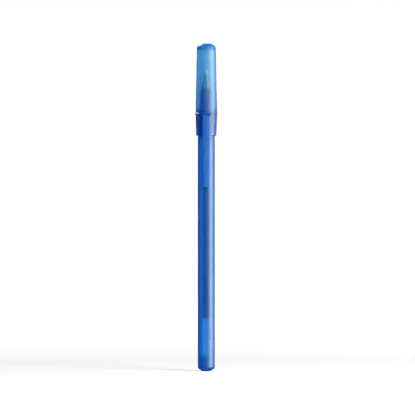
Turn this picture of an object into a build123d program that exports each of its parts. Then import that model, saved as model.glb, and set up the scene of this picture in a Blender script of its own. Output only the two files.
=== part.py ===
from build123d import *

import os

# A capped stick ballpoint pen, upright. The pen's axis is +Z, its tail face lies on z = 0
# and the cap's clip points to -Y. All lengths are in millimetres.

# Room left between pieces that fit together
press_room = 0.02
end_room = 0.05
cap_slide_room = 0.05
cap_seat_room = 0.06
ball_room = 0.02
cut_overrun = 1.0

# Barrel: a straight open tube
barrel_diameter = 7.75
barrel_wall = 1.0
barrel_length = 116.44
barrel_edge_break = 0.12

# Tail plug: a bevelled head and a cored spigot in the barrel's rear end
tail_bevel_width = 1.925
tail_bevel_rise = 1.22
tail_rim_height = 0.5
tail_rim_break_share = 0.92
tail_floor = 1.1
tail_spigot_length = 4.74
tail_spigot_wall = 0.9
tail_lead_in = 0.3

# Tip holder: nose cone, shoulder, flange on the barrel's front end and a long spigot inside it
flange_height = 1.24
flange_edge_break = 0.12
shoulder_height = 0.9
shoulder_width = 0.64
shoulder_foot_break = 0.2
nose_length = 8.76
nose_land = 0.34
nose_front_break = 0.2
holder_spigot_length = 12.16
holder_lead_in = 0.35
ink_duct_diameter = 1.6
ink_duct_length = 3.26

# Point: turned from brass, with a shank in the tip holder and a socket for the ball
shank_diameter = 3.7
shank_length = 8.6
shank_lead_in = 0.3
collar_diameter = 4.7
collar_height = 1.01
collar_step = 0.12
collar_edge_break = 0.1
point_cone_length = 5.96
point_nose_length = 1.89
point_nose_taper = 0.28
lip_wall = 0.16
lip_break = 0.09
ink_well_diameter = 2.2
gallery_diameter = 1.1
gallery_length = 5.6
feed_diameter = 0.5
feed_length = 1.94

# Writing ball, and how far the lip closes over its middle
ball_diameter = 1.0
ball_grip = 0.2

# Ink tube, cut to end short of the tail plug, and the ink, which has left the tube's rear stretch empty
ink_tube_diameter = 3.3
ink_tube_wall = 0.45
ink_tube_tail_gap = 1.2
ink_tube_empty_length = 16.65
ink_dish_depth = 0.5

# Cap: collar with a bead, seat for the nose's shoulder, tapered tube and a bevelled closed end
cap_grip_length = 10.39
cap_mouth_wall = 0.675
cap_collar_wall = 0.985
cap_mouth_break = 0.15
cap_mouth_lead_in = 0.2
bead_reach = 0.22
bead_height = 0.3
bead_slope = 0.25
bead_edge_break = 0.05
bead_drop = 0.31
cap_tube_taper = 0.59
cap_tube_wall = 0.95
cap_nose_room = 0.32
cap_tip_room = 10.0
cap_roof = 1.68
cap_bevel_width = 1.84
cap_bevel_rise = 1.25
cap_rim_break = 0.52
cap_cavity_break = 0.5
cap_vent_diameter = 1.6

# Clip, moulded on the cap's collar
clip_root_gap = 0.25
clip_end_gap = 0.55
clip_thickness = 2.215
clip_overhang = 23.5
clip_top_width = 3.7
clip_end_width = 2.95
clip_end_round = 0.6
clip_lead_in_depth = 0.55
clip_lead_in_height = 1.2
clip_bevel_drop = 0.85
clip_flare = 0.45
clip_flare_share = 0.45
clip_edge_round = 0.3

# Radii that pieces share
barrel_radius = barrel_diameter / 2
barrel_bore_radius = barrel_radius - barrel_wall
spigot_radius = barrel_bore_radius - press_room
nose_base_radius = barrel_radius - shoulder_width
nose_front_radius = collar_diameter / 2 + nose_land
shank_radius = shank_diameter / 2
ball_radius = ball_diameter / 2
socket_radius = ball_radius + ball_room
lip_radius = socket_radius + lip_wall
point_nose_radius = lip_radius + point_nose_taper
tube_radius = ink_tube_diameter / 2
tube_bore_radius = tube_radius - ink_tube_wall
cap_bore_radius = barrel_radius + cap_slide_room
cap_collar_radius = cap_bore_radius + cap_collar_wall

# Heights above the tail face
barrel_rear = tail_bevel_rise + tail_rim_height
tail_spigot_front = barrel_rear + tail_spigot_length
barrel_front = barrel_rear + barrel_length
flange_front = barrel_front + flange_height
nose_base = flange_front + shoulder_height
nose_front = nose_base + nose_length
collar_front = nose_front + collar_height
cone_front = collar_front + point_cone_length
lip_front = cone_front + point_nose_length
ball_centre = lip_front - ball_grip
holder_rear = barrel_front - holder_spigot_length
shank_rear = nose_front - shank_length
tube_socket_front = shank_rear - ink_duct_length
tube_front = tube_socket_front - end_room
tube_rear = tail_spigot_front + ink_tube_tail_gap
ink_rear = tube_rear + ink_tube_empty_length
feed_front = ball_centre - socket_radius
gallery_front = feed_front - feed_length
well_front = gallery_front - gallery_length
cap_mouth = barrel_front - cap_grip_length
cavity_front = ball_centre + ball_radius + cap_tip_room
cap_front = cavity_front + cap_roof
bead_front = barrel_front - bead_drop + bead_height / 2 + bead_slope
bead_rear = barrel_front - bead_drop - bead_height / 2 - bead_slope


def turned(outline, breaks=()):
    """Spin a closed outline of (radius, height) corners round the axis, with some corners broken."""
    section = make_face(Polyline(*outline, close=True))
    for corner, length in breaks:
        section = chamfer(section.vertices().sort_by_distance(corner)[0], length)
    return revolve(Plane.XZ * section, Axis.Z)


def rod(radius, rear, front):
    """A plain cylinder on the pen's axis between two heights."""
    return Pos(0, 0, rear) * Cylinder(radius, front - rear, align=(Align.CENTER, Align.CENTER, Align.MIN))


def make_barrel():
    rear_edge = (barrel_radius, barrel_rear)
    front_edge = (barrel_radius, barrel_front)
    outline = [(barrel_bore_radius, barrel_rear), rear_edge, front_edge, (barrel_bore_radius, barrel_front)]
    return turned(outline, [(edge, barrel_edge_break) for edge in (rear_edge, front_edge)])


def make_tail_plug():
    bevel_top = (barrel_radius, tail_bevel_rise)
    outline = [
        (0, 0),
        (barrel_radius - tail_bevel_width, 0),
        bevel_top,
        (barrel_radius, barrel_rear),
        (spigot_radius, barrel_rear),
        (spigot_radius, tail_spigot_front - tail_lead_in),
        (spigot_radius - tail_lead_in, tail_spigot_front),
        (0, tail_spigot_front),
    ]
    core = rod(spigot_radius - tail_spigot_wall, tail_floor, tail_spigot_front + cut_overrun)
    return turned(outline, [(bevel_top, tail_rim_height * tail_rim_break_share)]) - core


def make_tip_holder():
    flange_rear_edge = (barrel_radius, barrel_front)
    shoulder_foot = (nose_base_radius, nose_base)
    nose_edge = (nose_front_radius, nose_front)
    outline = [
        (0, holder_rear),
        (spigot_radius - holder_lead_in, holder_rear),
        (spigot_radius, holder_rear + holder_lead_in),
        (spigot_radius, barrel_front),
        flange_rear_edge,
        (barrel_radius, flange_front),
        shoulder_foot,
        nose_edge,
        (0, nose_front),
    ]
    breaks = [
        (flange_rear_edge, flange_edge_break),
        (shoulder_foot, shoulder_foot_break),
        (nose_edge, nose_front_break),
    ]
    holder = turned(outline, breaks)
    holder -= rod(tube_radius + press_room, holder_rear - cut_overrun, tube_socket_front)
    holder -= rod(ink_duct_diameter / 2, tube_socket_front - cut_overrun, shank_rear)
    holder -= rod(shank_radius + press_room, shank_rear - end_room, nose_front + cut_overrun)
    return holder


def make_point_body():
    collar_edge = (collar_diameter / 2, collar_front)
    lip_edge = (lip_radius, lip_front)
    outline = [
        (0, shank_rear),
        (shank_radius - shank_lead_in, shank_rear),
        (shank_radius, shank_rear + shank_lead_in),
        (shank_radius, nose_front),
        (collar_diameter / 2, nose_front),
        collar_edge,
        (collar_diameter / 2 - collar_step, collar_front),
        (point_nose_radius, cone_front),
        lip_edge,
        (0, lip_front),
    ]
    point = turned(outline, [(collar_edge, collar_edge_break), (lip_edge, lip_break)])
    point -= Pos(0, 0, ball_centre) * Sphere(socket_radius)
    point -= rod(ink_well_diameter / 2, shank_rear - cut_overrun, well_front)
    point -= rod(gallery_diameter / 2, shank_rear, gallery_front)
    point -= rod(feed_diameter / 2, shank_rear, ball_centre)
    return point


def make_writing_ball():
    return Pos(0, 0, ball_centre) * Sphere(ball_radius)


def make_ink_tube():
    bore = rod(tube_bore_radius, tube_rear - cut_overrun, tube_front + cut_overrun)
    return rod(tube_radius, tube_rear, tube_front) - bore


def make_ink():
    column_radius = tube_bore_radius - press_room
    column = rod(column_radius, ink_rear, tube_front)
    column += rod(ink_duct_diameter / 2 - press_room, ink_rear + ink_dish_depth, shank_rear)
    column += rod(ink_well_diameter / 2 - press_room, shank_rear, well_front - press_room)
    column += rod(gallery_diameter / 2 - press_room, shank_rear, gallery_front - press_room)
    column += rod(feed_diameter / 2 - press_room, shank_rear, feed_front - press_room)
    dish_radius = (column_radius**2 + ink_dish_depth**2) / (2 * ink_dish_depth)
    return column - Pos(0, 0, ink_rear + ink_dish_depth - dish_radius) * Sphere(dish_radius)


def make_cap_outside():
    """The cap's outer form as a solid of revolution: collar, bead, tapered tube and bevelled end."""
    mouth_edge = (cap_bore_radius + cap_mouth_wall, cap_mouth)
    bead_radius = cap_collar_radius + bead_reach
    bead_low = (bead_radius, bead_rear + bead_slope)
    bead_high = (bead_radius, bead_front - bead_slope)
    rim_radius = cap_collar_radius - cap_tube_taper
    rim = (rim_radius, cap_front - cap_bevel_rise)
    outline = [
        (0, cap_mouth),
        mouth_edge,
        (cap_collar_radius, bead_rear),
        bead_low,
        bead_high,
        (cap_collar_radius, bead_front),
        rim,
        (rim_radius - cap_bevel_width, cap_front),
        (0, cap_front),
    ]
    breaks = [
        (mouth_edge, cap_mouth_break),
        (bead_low, bead_edge_break),
        (bead_high, bead_edge_break),
        (rim, cap_rim_break),
    ]
    return turned(outline, breaks)


def make_cap_inside():
    """What is cut out of the cap: bore, seat parallel to the nose's shoulder, and long hollow."""
    seat_rear = flange_front + cap_seat_room
    hollow_base_radius = max(nose_base_radius, nose_front_radius) + cap_nose_room
    seat_rise = (cap_bore_radius - hollow_base_radius) * shoulder_height / shoulder_width
    hollow_corner = (cap_collar_radius - cap_tube_taper - cap_tube_wall, cavity_front)
    outline = [
        (0, cap_mouth - cut_overrun),
        (cap_bore_radius + cap_mouth_lead_in, cap_mouth - cut_overrun),
        (cap_bore_radius + cap_mouth_lead_in, cap_mouth),
        (cap_bore_radius, cap_mouth + cap_mouth_lead_in),
        (cap_bore_radius, seat_rear),
        (hollow_base_radius, seat_rear + seat_rise),
        hollow_corner,
        (0, cavity_front),
    ]
    return turned(outline, [(hollow_corner, cap_cavity_break)])


def make_clip():
    """A crowned blade, thinner and narrower to its free end, with a flared root under the bead."""
    face_radius = barrel_radius + clip_root_gap + clip_thickness
    root_radius = barrel_radius + clip_root_gap
    end_radius = barrel_radius + clip_end_gap
    clip_end = cap_mouth - clip_overhang
    top_corner = bead_rear - clip_bevel_drop

    side = make_face(
        Polyline(
            (-face_radius, clip_end),
            (-face_radius, top_corner),
            (-cap_collar_radius, bead_rear),
            (-root_radius, bead_rear),
            (-root_radius, cap_mouth),
            (-end_radius, clip_end + clip_lead_in_height),
            (-end_radius - clip_lead_in_depth, clip_end),
            close=True,
        )
    )
    flared_half_width = clip_top_width / 2 + clip_flare
    slab = extrude(Plane.YZ * side, flared_half_width, both=True)

    end_corners = [(sign * clip_end_width / 2, clip_end) for sign in (1, -1)]
    flare_start = bead_rear - clip_bevel_drop * clip_flare_share
    flare_corners = [(sign * clip_top_width / 2, flare_start) for sign in (1, -1)]
    front = make_face(
        Polyline(
            end_corners[1],
            end_corners[0],
            flare_corners[0],
            (flared_half_width, bead_rear),
            (-flared_half_width, bead_rear),
            flare_corners[1],
            close=True,
        )
    )
    for corner in end_corners:
        front = fillet(front.vertices().sort_by_distance(corner)[0], clip_end_round)
    blade = slab & extrude(Plane.XZ * front, face_radius) & rod(face_radius, clip_end, bead_rear)
    crown = blade.faces().filter_by(GeomType.CYLINDER).sort_by(SortBy.AREA)[-1]
    return fillet(crown.edges(), clip_edge_round)


def make_cap():
    vent = rod(cap_vent_diameter / 2, cavity_front - cut_overrun, cap_front + cut_overrun)
    return make_cap_outside() + make_clip() - make_cap_inside() - vent


pieces = {
    "barrel": make_barrel(),
    "tail_plug": make_tail_plug(),
    "tip_holder": make_tip_holder(),
    "point_body": make_point_body(),
    "writing_ball": make_writing_ball(),
    "ink_tube": make_ink_tube(),
    "ink": make_ink(),
    "cap": make_cap(),
}

os.makedirs("parts", exist_ok=True)
for name, piece in pieces.items():
    export_step(piece, f"parts/{name}.step")
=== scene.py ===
"""Looks of the capped stick ballpoint pen: plastics, ink, brass point, studio and camera.

The pen stands on its tail along +Z, with its clip towards -Y, where the camera is. Lengths are in metres
and angles in degrees. A bearing goes round the pen from the camera's side towards +X, and a rise goes up
from level.
"""

import math

import bpy
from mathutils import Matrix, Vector


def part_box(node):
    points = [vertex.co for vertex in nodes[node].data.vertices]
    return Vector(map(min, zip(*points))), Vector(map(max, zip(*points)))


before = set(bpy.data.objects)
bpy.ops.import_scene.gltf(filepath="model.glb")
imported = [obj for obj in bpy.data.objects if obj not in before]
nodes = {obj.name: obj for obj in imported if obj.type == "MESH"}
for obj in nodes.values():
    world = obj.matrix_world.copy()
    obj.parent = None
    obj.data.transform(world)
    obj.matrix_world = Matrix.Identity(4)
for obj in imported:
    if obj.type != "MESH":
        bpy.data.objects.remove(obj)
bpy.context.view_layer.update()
plastic_nodes = [nodes[name] for name in ("barrel", "tail_plug", "tip_holder", "cap", "ink_tube", "ink")]
metal_nodes = [nodes[name] for name in ("point_body", "writing_ball")]
scene = bpy.context.scene


# Places on the pen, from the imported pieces; a span goes from where an amount is 0 to where it is 1

mm = 0.001
barrel_low, barrel_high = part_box("barrel")
barrel_radius = barrel_high[0]
cap_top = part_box("cap")[1][2]
ink_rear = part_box("ink")[0][2]
point_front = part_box("point_body")[1][2]

clip_span = (-barrel_radius - 0.925 * mm, -barrel_radius - 1.425 * mm)
roof_span = (cap_top - 3.3 * mm, cap_top - 2.3 * mm)
cap_skin_span = (cap_top - 3.7 * mm, cap_top - 25.6 * mm)
# Where the cap's collar holds the barrel, which gets painted shade
grip_radius_span = (barrel_radius + 0.145 * mm, barrel_radius + 0.095 * mm)
grip_height_span = (barrel_high[2] + 1.44 * mm, barrel_high[2] + 1.14 * mm)
plug_head_span = (barrel_low[2] + 0.18 * mm, barrel_low[2] - 0.22 * mm)
full_tube_span = (ink_rear - 0.11 * mm, ink_rear + 0.09 * mm)
nose_span = (point_front - 1.97 * mm, point_front - 1.82 * mm)


# The photo's frame: its side and the pen's axis and tail in pixels, and a pixel's size on the pen

photo_side = 415
axis_column = 206.29
tail_row = 370.99
pixel = 0.458 * mm
frame_width = photo_side * pixel
middle = Vector(((photo_side / 2 - axis_column) * pixel, 0, (tail_row - photo_side / 2) * pixel))


# Node helpers

# Where most values of a noise lie
noise_span = (0.3, 0.7)

# Sockets of a Mix node for colours, which share their names with those for numbers
mix_amount, mix_from, mix_to, mix_result = 0, 6, 7, 2


def set_sockets(node, sockets):
    """Sets some of a node's inputs; a _ in a name stands for a space."""
    for name, value in sockets.items():
        node.inputs[name.replace("_", " ")].default_value = value


def feed(tree, node, **sockets):
    """Links values to some of a node's inputs; a _ in a name stands for a space."""
    for name, value in sockets.items():
        tree.links.new(value, node.inputs[name.replace("_", " ")])


def add_node(tree, kind, operation=None, **sockets):
    """A shader node with its operation, if it has one, and with some of its inputs set."""
    node = tree.nodes.new(kind)
    if operation:
        node.operation = operation
    set_sockets(node, sockets)
    return node


def new_material(name, **sockets):
    """A material with a Principled shader; gives the material, its tree and the shader."""
    material = bpy.data.materials.new(name)
    material.use_nodes = True
    shader = material.node_tree.nodes["Principled BSDF"]
    set_sockets(shader, sockets)
    return material, material.node_tree, shader


def own_place(tree):
    """The place on the piece in the pen's coordinates at rest, which goes with the piece when it moves."""
    return add_node(tree, "ShaderNodeTexCoord").outputs["Object"]


def scaled(tree, value, low, high, span=(0.0, 1.0)):
    """A number that goes from low to high while the value goes over the span."""
    node = add_node(
        tree, "ShaderNodeMapRange", From_Min=span[0], From_Max=span[1], To_Min=low, To_Max=high
    )
    feed(tree, node, Value=value)
    return node.outputs["Result"]


def combine(tree, operation, one, other):
    """Two values multiplied, or the larger one of them, as the operation says."""
    node = add_node(tree, "ShaderNodeMath", operation)
    tree.links.new(one, node.inputs[0])
    tree.links.new(other, node.inputs[1])
    return node.outputs["Value"]


def along(tree, axis, span):
    """An amount that goes from 0 to 1 over a span along one of the pen's axes."""
    split = add_node(tree, "ShaderNodeSeparateXYZ")
    feed(tree, split, Vector=own_place(tree))
    return scaled(tree, split.outputs[axis], 0.0, 1.0, span)


def around(tree, span):
    """An amount that goes from 0 to 1 over a span of distances from the pen's axis."""
    flat = add_node(tree, "ShaderNodeVectorMath", "MULTIPLY")
    flat.inputs[1].default_value = (1, 1, 0)
    length = add_node(tree, "ShaderNodeVectorMath", "LENGTH")
    tree.links.new(own_place(tree), flat.inputs[0])
    tree.links.new(flat.outputs["Vector"], length.inputs[0])
    return scaled(tree, length.outputs["Value"], 0.0, 1.0, span)


def noise(tree, scale, detail, stretch=(1.0, 1.0, 1.0)):
    """A noise on the piece; a smaller number in stretch makes it longer along that axis."""
    mapping = add_node(tree, "ShaderNodeMapping", Scale=stretch)
    feed(tree, mapping, Vector=own_place(tree))
    pattern = add_node(tree, "ShaderNodeTexNoise", Scale=scale, Detail=detail)
    feed(tree, pattern, Vector=mapping.outputs["Vector"])
    return pattern.outputs["Fac"]


def spread(tree, pattern, numbers):
    """A noise mapped to the numbers between two."""
    return scaled(tree, pattern, *numbers, noise_span)


def tint(tree, pattern, colours):
    """A noise mapped to the colours between two."""
    ramp = add_node(tree, "ShaderNodeValToRGB")
    for element, position, colour in zip(ramp.color_ramp.elements, noise_span, colours):
        element.position = position
        element.color = (*colour, 1)
    feed(tree, ramp, Fac=pattern)
    return ramp.outputs["Color"]


def shaded(tree, amount, colour, other):
    """A colour that goes to another one by an amount."""
    node = add_node(tree, "ShaderNodeMix")
    node.data_type = "RGBA"
    node.inputs[mix_to].default_value = (*other, 1)
    tree.links.new(amount, node.inputs[mix_amount])
    tree.links.new(colour, node.inputs[mix_from])
    return node.outputs[mix_result]


def bumps(tree, pattern, strength, distance):
    """Fine unevenness from a noise; the distance is its height."""
    node = add_node(tree, "ShaderNodeBump", Strength=strength, Distance=distance)
    feed(tree, node, Height=pattern)
    return node.outputs["Normal"]


# Plastics; where a value has two ends, a noise moves between them

frosted = (0.275, 0.285)
smooth = (0.02, 0.04)
clear_skin = ((0.95, 0.97, 0.99), (0.98, 0.99, 1.0))
cap_skin = ((0.49, 0.76, 0.83), (0.51, 0.78, 0.85))
cap_skin_low = (0.36, 0.57, 0.93)

barrel_haze = ((0.025, 0.38, 0.9), (0.035, 0.44, 0.95))
blue_haze = ((0.02, 0.25, 0.88), (0.03, 0.31, 0.94))
milky_haze = ((0.72, 0.8, 0.86), (0.82, 0.88, 0.93))
# Painted shade: the dark cloud colour where the cap's collar sits over the barrel
grip_shade_colour = (0.014, 0.04, 0.47)
plug_head_colour = (0.04, 0.12, 0.62)
full_tube_colour = (0.02, 0.045, 0.26)

wall_share = 0.14
clip_share = 0.44
roof_share = 0.6
# Painted shade: the share of that dark cloud on the collar over the barrel
grip_shade_share = 0.75
plug_head_share = 0.75
empty_tube_share = 0.6
full_tube_share = 0.65


def cap_depth(tree, share, colour):
    """Cloudier in the cap's thick clip and roof, with painted shade where its collar holds the barrel."""
    # Painted shade where the collar sits over the barrel: mostly a dark cloud there
    contact_shade_mask = combine(
        tree, "MULTIPLY", around(tree, grip_radius_span), along(tree, "Z", grip_height_span)
    )
    clip = scaled(tree, along(tree, "Y", clip_span), share, clip_share)
    roof = scaled(tree, along(tree, "Z", roof_span), share, roof_share)
    grip = scaled(tree, contact_shade_mask, share, grip_shade_share)
    most = combine(tree, "MAXIMUM", combine(tree, "MAXIMUM", clip, roof), grip)
    return most, shaded(tree, contact_shade_mask, colour, grip_shade_colour)


def plug_depth(tree, share, colour):
    """The plug looks cloudier in its solid head, under the barrel's end."""
    head = along(tree, "Z", plug_head_span)
    return scaled(tree, head, share, plug_head_share), shaded(tree, head, colour, plug_head_colour)


def tube_depth(tree, share, colour):
    """The tube looks as dark as its ink where it is full, and milky in its empty end."""
    full = along(tree, "Z", full_tube_span)
    return scaled(tree, full, share, full_tube_share), shaded(tree, full, colour, full_tube_colour)


def translucent(name, roughness, taken, haze, share, depth=None, skin=clear_skin, skin_low=None):
    """Moulded plastic that light passes through.

    Its body takes red, green and blue out of the light at the rates in taken, for each metre. A share of
    its surface is a matt cloud in the haze's colours; depth changes that share and colour with the place.
    The rest is a skin in the skin's colours, which go to skin_low down the cap, where that is given.
    """
    material, tree, shader = new_material(name, IOR=1.49, Transmission_Weight=1.0)
    grain = noise(tree, scale=9000.0, detail=2.0)
    flow = noise(tree, scale=260.0, detail=3.0, stretch=(1.0, 1.0, 0.3))
    normal = bumps(tree, grain, strength=0.03, distance=0.001 * mm)
    colour = tint(tree, flow, skin)
    if skin_low:
        colour = shaded(tree, along(tree, "Z", cap_skin_span), colour, skin_low)
    feed(tree, shader, Base_Color=colour, Roughness=spread(tree, flow, roughness), Normal=normal)

    cloud = add_node(tree, "ShaderNodeBsdfPrincipled", Roughness=0.6, Specular_IOR_Level=0.0)
    cloud_colour = tint(tree, flow, haze)
    both = add_node(tree, "ShaderNodeMixShader", Fac=share)
    if depth:
        amount, cloud_colour = depth(tree, share, cloud_colour)
        feed(tree, both, Fac=amount)
    feed(tree, cloud, Base_Color=cloud_colour, Normal=normal)
    tree.links.new(shader.outputs["BSDF"], both.inputs[1])
    tree.links.new(cloud.outputs["BSDF"], both.inputs[2])

    most = max(taken)
    left = [1 - rate / most for rate in taken]
    body = add_node(tree, "ShaderNodeVolumeAbsorption", Color=(*left, 1), Density=most)
    feed(
        tree,
        tree.nodes["Material Output"],
        Surface=both.outputs["Shader"],
        Volume=body.outputs["Volume"],
    )
    return material


# Ink and metals


def thick_ink():
    """Thick blue ink with a weak gloss and cloudy streaks along the tube."""
    material, tree, shader = new_material("thick_blue_ink", Specular_IOR_Level=0.15)
    streaks = noise(tree, scale=700.0, detail=3.0, stretch=(1.0, 1.0, 0.3))
    colour = tint(tree, streaks, ((0.012, 0.04, 0.28), (0.018, 0.06, 0.36)))
    feed(tree, shader, Base_Color=colour, Roughness=spread(tree, streaks, (0.25, 0.4)))
    return material


def brass():
    """Turned brass with fine rings and uneven colour, and with a paler, less metallic nose."""
    material, tree, shader = new_material("turned_brass")
    rings = noise(tree, scale=2500.0, detail=2.0, stretch=(0.05, 0.05, 4.0))
    patina = noise(tree, scale=900.0, detail=3.0)
    nose = along(tree, "Z", nose_span)
    colour = tint(tree, patina, ((0.66, 0.5, 0.24), (0.74, 0.58, 0.31)))
    feed(
        tree,
        shader,
        Base_Color=shaded(tree, nose, colour, (0.92, 0.82, 0.56)),
        Metallic=scaled(tree, nose, 1.0, 0.6),
        Roughness=spread(tree, rings, (0.28, 0.36)),
        Normal=bumps(tree, rings, strength=0.1, distance=0.003 * mm),
    )
    return material


def hard_metal():
    """The ball's ground metal, with smears of ink on it."""
    material, tree, shader = new_material("ground_hard_metal", Metallic=1.0)
    smear = noise(tree, scale=3000.0, detail=2.0)
    colour = tint(tree, smear, ((0.05, 0.07, 0.2), (0.4, 0.42, 0.48)))
    feed(tree, shader, Base_Color=colour, Roughness=spread(tree, smear, (0.15, 0.3)))
    return material


# A material for each piece

looks = {
    "barrel": translucent(
        "barrel_blue", frosted, taken=(1750.0, 750.0, 165.0), haze=barrel_haze, share=wall_share
    ),
    "tail_plug": translucent(
        "plug_blue", frosted, taken=(400.0, 170.0, 20.0), haze=blue_haze, share=wall_share, depth=plug_depth
    ),
    "tip_holder": translucent(
        "holder_blue", frosted, taken=(880.0, 350.0, 160.0), haze=blue_haze, share=wall_share
    ),
    "cap": translucent(
        "cap_blue",
        frosted,
        taken=(370.0, 100.0, 30.0),
        haze=blue_haze,
        share=wall_share,
        depth=cap_depth,
        skin=cap_skin,
        skin_low=cap_skin_low,
    ),
    "ink_tube": translucent(
        "tube_milky",
        smooth,
        taken=(10.0, 5.0, 2.0),
        haze=milky_haze,
        share=empty_tube_share,
        depth=tube_depth,
    ),
    "ink": thick_ink(),
    "point_body": brass(),
    "writing_ball": hard_metal(),
}
for name, material in looks.items():
    nodes[name].data.materials.clear()
    nodes[name].data.materials.append(material)


# Stage

floor_reach = 1.5

# The floor's own light goes from one strength to the other over this span of distances from the pen
floor_span = (0.15, 0.7)
floor_strengths = (0.5, 0.85)

# The world's strength on the rays that bring the even light
ambient = 0.25

hood_distance = 0.6
hood_columns = 48
hood_rows = 24

# Openings in the hood, each with its bearings and its rises
hood_windows = {
    "softboxes": ((18.0, 135.0), (-50.0, 50.0)),
    "rim": ((100.0, 240.0), (12.0, 60.0)),
}


def direction(bearing, rise):
    """The way from the pen to a bearing and a rise."""
    turn = math.radians(bearing)
    lift = math.radians(rise)
    return Vector((math.sin(turn) * math.cos(lift), -math.cos(turn) * math.cos(lift), math.sin(lift)))


def seen_rays(tree):
    """1 on rays from the camera, mirror rays and rays through the plastic, and 0 on others."""
    rays = add_node(tree, "ShaderNodeLightPath").outputs
    first = combine(tree, "MAXIMUM", rays["Is Camera Ray"], rays["Is Glossy Ray"])
    return combine(tree, "MAXIMUM", first, rays["Is Transmission Ray"])


def add_mesh(name, points, faces, material, hidden_from):
    """A mesh for the stage with one material, hidden from some kinds of rays."""
    mesh = bpy.data.meshes.new(name)
    mesh.from_pydata(points, [], faces)
    mesh.materials.append(material)
    piece = bpy.data.objects.new(name, mesh)
    for kind in hidden_from:
        setattr(piece, "visible_" + kind, False)
    scene.collection.objects.link(piece)
    return piece


def make_floor():
    """A pale floor that shows as white, far off too, where the pen leaves no shadow."""
    material, tree, shader = new_material(
        "pale_floor", Base_Color=(0.86, 0.86, 0.86, 1), Roughness=0.9, Emission_Color=(1, 1, 1, 1)
    )
    lift = scaled(tree, around(tree, floor_span), *floor_strengths)
    feed(tree, shader, Emission_Strength=combine(tree, "MULTIPLY", seen_rays(tree), lift))
    material.cycles.emission_sampling = "NONE"
    corners = [(-1, -1), (1, -1), (1, 1), (-1, 1)]
    points = [(floor_reach * x, floor_reach * y, 0) for x, y in corners]
    floor = add_mesh("floor", points, [(0, 1, 2, 3)], material, ("glossy", "transmission", "shadow"))
    return floor


def make_world():
    """White to the camera, in reflections and through the plastic; a lower even light elsewhere."""
    world = bpy.data.worlds.new("studio")
    scene.world = world
    world.use_nodes = True
    world.cycles.sampling_method = "NONE"
    tree = world.node_tree
    background = tree.nodes["Background"]
    background.inputs["Color"].default_value = (1, 1, 1, 1)
    feed(tree, background, Strength=scaled(tree, seen_rays(tree), ambient, 1.0))


def in_window(bearing, rise):
    """Whether the hood is open in a direction."""
    for bearings, rises in hood_windows.values():
        if bearings[0] < bearing < bearings[1] and rises[0] < rise < rises[1]:
            return True
    return False


def make_hood():
    """A black hood round the pen that shows in reflections alone, with openings for the lamps."""
    centre = Vector((0, 0, middle.z))
    column_step = 360.0 / hood_columns
    row_step = 180.0 / hood_rows
    points = []
    for row in range(hood_rows + 1):
        for column in range(hood_columns):
            points.append(centre + hood_distance * direction(column * column_step, row * row_step - 90.0))
    faces = []
    for row in range(hood_rows):
        low = row * hood_columns
        high = low + hood_columns
        for column in range(hood_columns):
            if in_window((column + 0.5) * column_step, (row + 0.5) * row_step - 90.0):
                continue
            beside = (column + 1) % hood_columns
            faces.append((low + column, low + beside, high + beside, high + column))
    material = new_material("black_cloth", Base_Color=(0.02, 0.02, 0.02, 1), Roughness=1.0)[0]
    hidden_from = ("camera", "diffuse", "transmission", "volume_scatter", "shadow")
    hood = add_mesh("hood", points, faces, material, hidden_from)


floor = make_floor()
make_world()
make_hood()


# Lamps

softbox_rise = 6.0
softbox_colour = (1.08, 1.13, 0.48)
softboxes = {
    "wide_softbox": dict(bearing=66.0, distance=1.0, size=(1.9, 1.4), radiance=1.0),
    "broad_softbox": dict(bearing=65.0, distance=0.98, size=(1.2, 1.4), radiance=2.3),
    "main_softbox": dict(bearing=71.0, distance=0.96, size=(0.66, 1.4), radiance=5.5),
}
matte_lamp_size = (0.6, 0.6)
tube_light_colour = (0.25, 0.72, 0.85)
nose_light_colour = (1.0, 0.7, 0.3)


def group(name, members):
    """A collection of objects, for lamps that light only those or are shaded only by those."""
    collection = bpy.data.collections.new(name)
    for member in members:
        collection.objects.link(member)
    return collection


def make_lamp(
    name, rays, bearing, rise, size, radiance, distance=1.0, colour=(1, 1, 1), lit=None, shaded_by=None
):
    """An area lamp that faces the pen and counts for one kind of rays alone.

    With glossy rays it shows in reflections, with transmission rays through the plastic, and with diffuse
    rays it lights what is matt. It lights the collection lit, or all, and only shaded_by, or all, shades it.
    """
    width, height = size
    lamp = bpy.data.lights.new(name, "AREA")
    lamp.shape = "RECTANGLE"
    lamp.size = width
    lamp.size_y = height
    lamp.energy = radiance * math.pi * width * height
    lamp.color = colour
    box = bpy.data.objects.new(name, lamp)
    away = direction(bearing, rise)
    box.location = middle + distance * away
    box.rotation_euler = away.to_track_quat("Z", "Y").to_euler()
    for kind in ("glossy", "transmission", "diffuse"):
        setattr(box, "visible_" + kind, kind == rays)
    if lit:
        box.light_linking.receiver_collection = lit
    if shaded_by:
        box.light_linking.blocker_collection = shaded_by
    scene.collection.objects.link(box)


tube = group("tube_pieces", [nodes["ink_tube"]])
metals = group("metal_pieces", metal_nodes)
plastics = group("plastic_pieces", plastic_nodes)
matte = group("matte_pieces", [*plastic_nodes, floor])

# Reflections on the plastics from softboxes on the right, one before the other
for name, settings in softboxes.items():
    make_lamp(name, "glossy", rise=softbox_rise, colour=softbox_colour, lit=plastics, **settings)

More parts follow.
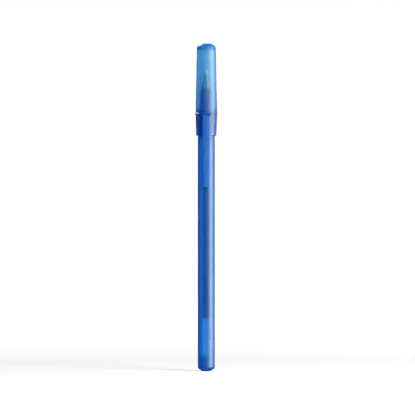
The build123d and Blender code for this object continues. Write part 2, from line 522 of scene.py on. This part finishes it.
# Light from the right through the plastic
make_lamp(
    "inner_light", "transmission", bearing=60.0, rise=29.0, size=(0.9, 0.36), radiance=5.5, distance=0.99
)

# Reflections from behind on the plastics, and from the left on the brass and the ball
make_lamp("rim", "glossy", bearing=210.0, rise=36.0, size=(0.45, 0.45), radiance=17.0, lit=plastics)
make_lamp(
    "metal_fill",
    "glossy",
    bearing=253.0,
    rise=20.0,
    size=(0.7, 0.7),
    radiance=0.9,
    distance=0.55,
    lit=metals,
)

# Light from the front and from behind through the plastic
make_lamp("strip", "transmission", bearing=15.0, rise=16.0, size=(1.2, 0.28), radiance=3.0)
make_lamp("edge", "transmission", bearing=140.0, rise=0.0, size=(0.6, 0.8), radiance=0.6)

# Light on what is matt; the last two lamps reach the tube and the point through the plastic round them
make_lamp("key", "diffuse", bearing=40.0, rise=20.0, size=matte_lamp_size, radiance=8.5, lit=matte)
make_lamp(
    "tube_light",
    "diffuse",
    bearing=300.0,
    rise=10.0,
    size=matte_lamp_size,
    radiance=11.0,
    colour=tube_light_colour,
    lit=tube,
    shaded_by=metals,
)
make_lamp(
    "nose_light",
    "diffuse",
    bearing=50.0,
    rise=20.0,
    size=matte_lamp_size,
    radiance=20.0,
    colour=nose_light_colour,
    lit=metals,
    shaded_by=metals,
)


# Camera and render settings


def make_camera():
    """A long lens, level with the middle of the frame, so that the pen shows with hardly any perspective."""
    lens = bpy.data.cameras.new("camera")
    lens.sensor_width = 36.0
    lens.lens = 400.0
    lens.clip_end = 100.0
    camera = bpy.data.objects.new("camera", lens)
    distance = frame_width * lens.lens / lens.sensor_width
    camera.location = middle + Vector((0, -distance, 0))
    camera.rotation_euler = (math.pi / 2, 0, 0)
    scene.collection.objects.link(camera)
    scene.camera = camera


make_camera()
scene.view_settings.view_transform = "Standard"

# Many bounces for plastics inside each other; lamps for some pieces alone need the light tree off
scene.cycles.max_bounces = 32
scene.cycles.transmission_bounces = 32
scene.cycles.glossy_bounces = 16
scene.cycles.use_light_tree = False
scene.cycles.filter_width = 1.35
